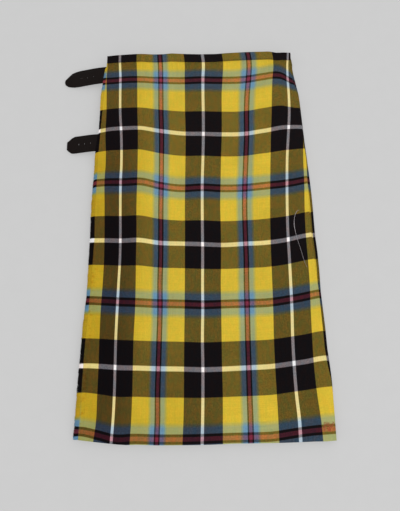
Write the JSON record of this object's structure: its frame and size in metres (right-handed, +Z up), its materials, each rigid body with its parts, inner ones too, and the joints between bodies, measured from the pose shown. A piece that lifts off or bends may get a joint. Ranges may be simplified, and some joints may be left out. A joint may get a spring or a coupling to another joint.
{
  "type": "pleated kilt laid flat",
  "caption": "Wraparound skirt of checked wool with a pleated back and flat aprons, lying flat with its leather straps unfastened.",
  "frame": {"origin": "under the middle of the garment's box, on the surface it lies on", "axes": "+Y from the hem to the waist, +X to the right of someone looking down at the front apron, +Z up out of the front apron"},
  "size_m": [0.4058, 0.6146, 0.0171],
  "materials": {
    "check_wool": "soft twill, matt",
    "band_wool": "the same twill, cut along the dark stripe",
    "fringe_wool": "loose weft strands",
    "strap_leather": "dark, smooth, slightly waxed",
    "buckle_metal": "nickel plated, light wear"
  },
  "bodies": {
    "root": {"front_apron": "check_wool", "under_apron": "check_wool", "pleated_back": "check_wool", "apron_fringe": "fringe_wool", "waistband_front": "band_wool", "waistband_back": "band_wool", "waistband_under": "band_wool", "strap_waist": "strap_leather", "strap_hip": "strap_leather", "buckle_waist_frame": "buckle_metal", "buckle_waist_prong": "buckle_metal", "buckle_waist_chape": "strap_leather", "buckle_hip_frame": "buckle_metal", "buckle_hip_prong": "buckle_metal", "buckle_hip_chape": "strap_leather"}
  },
  "joints": []
}
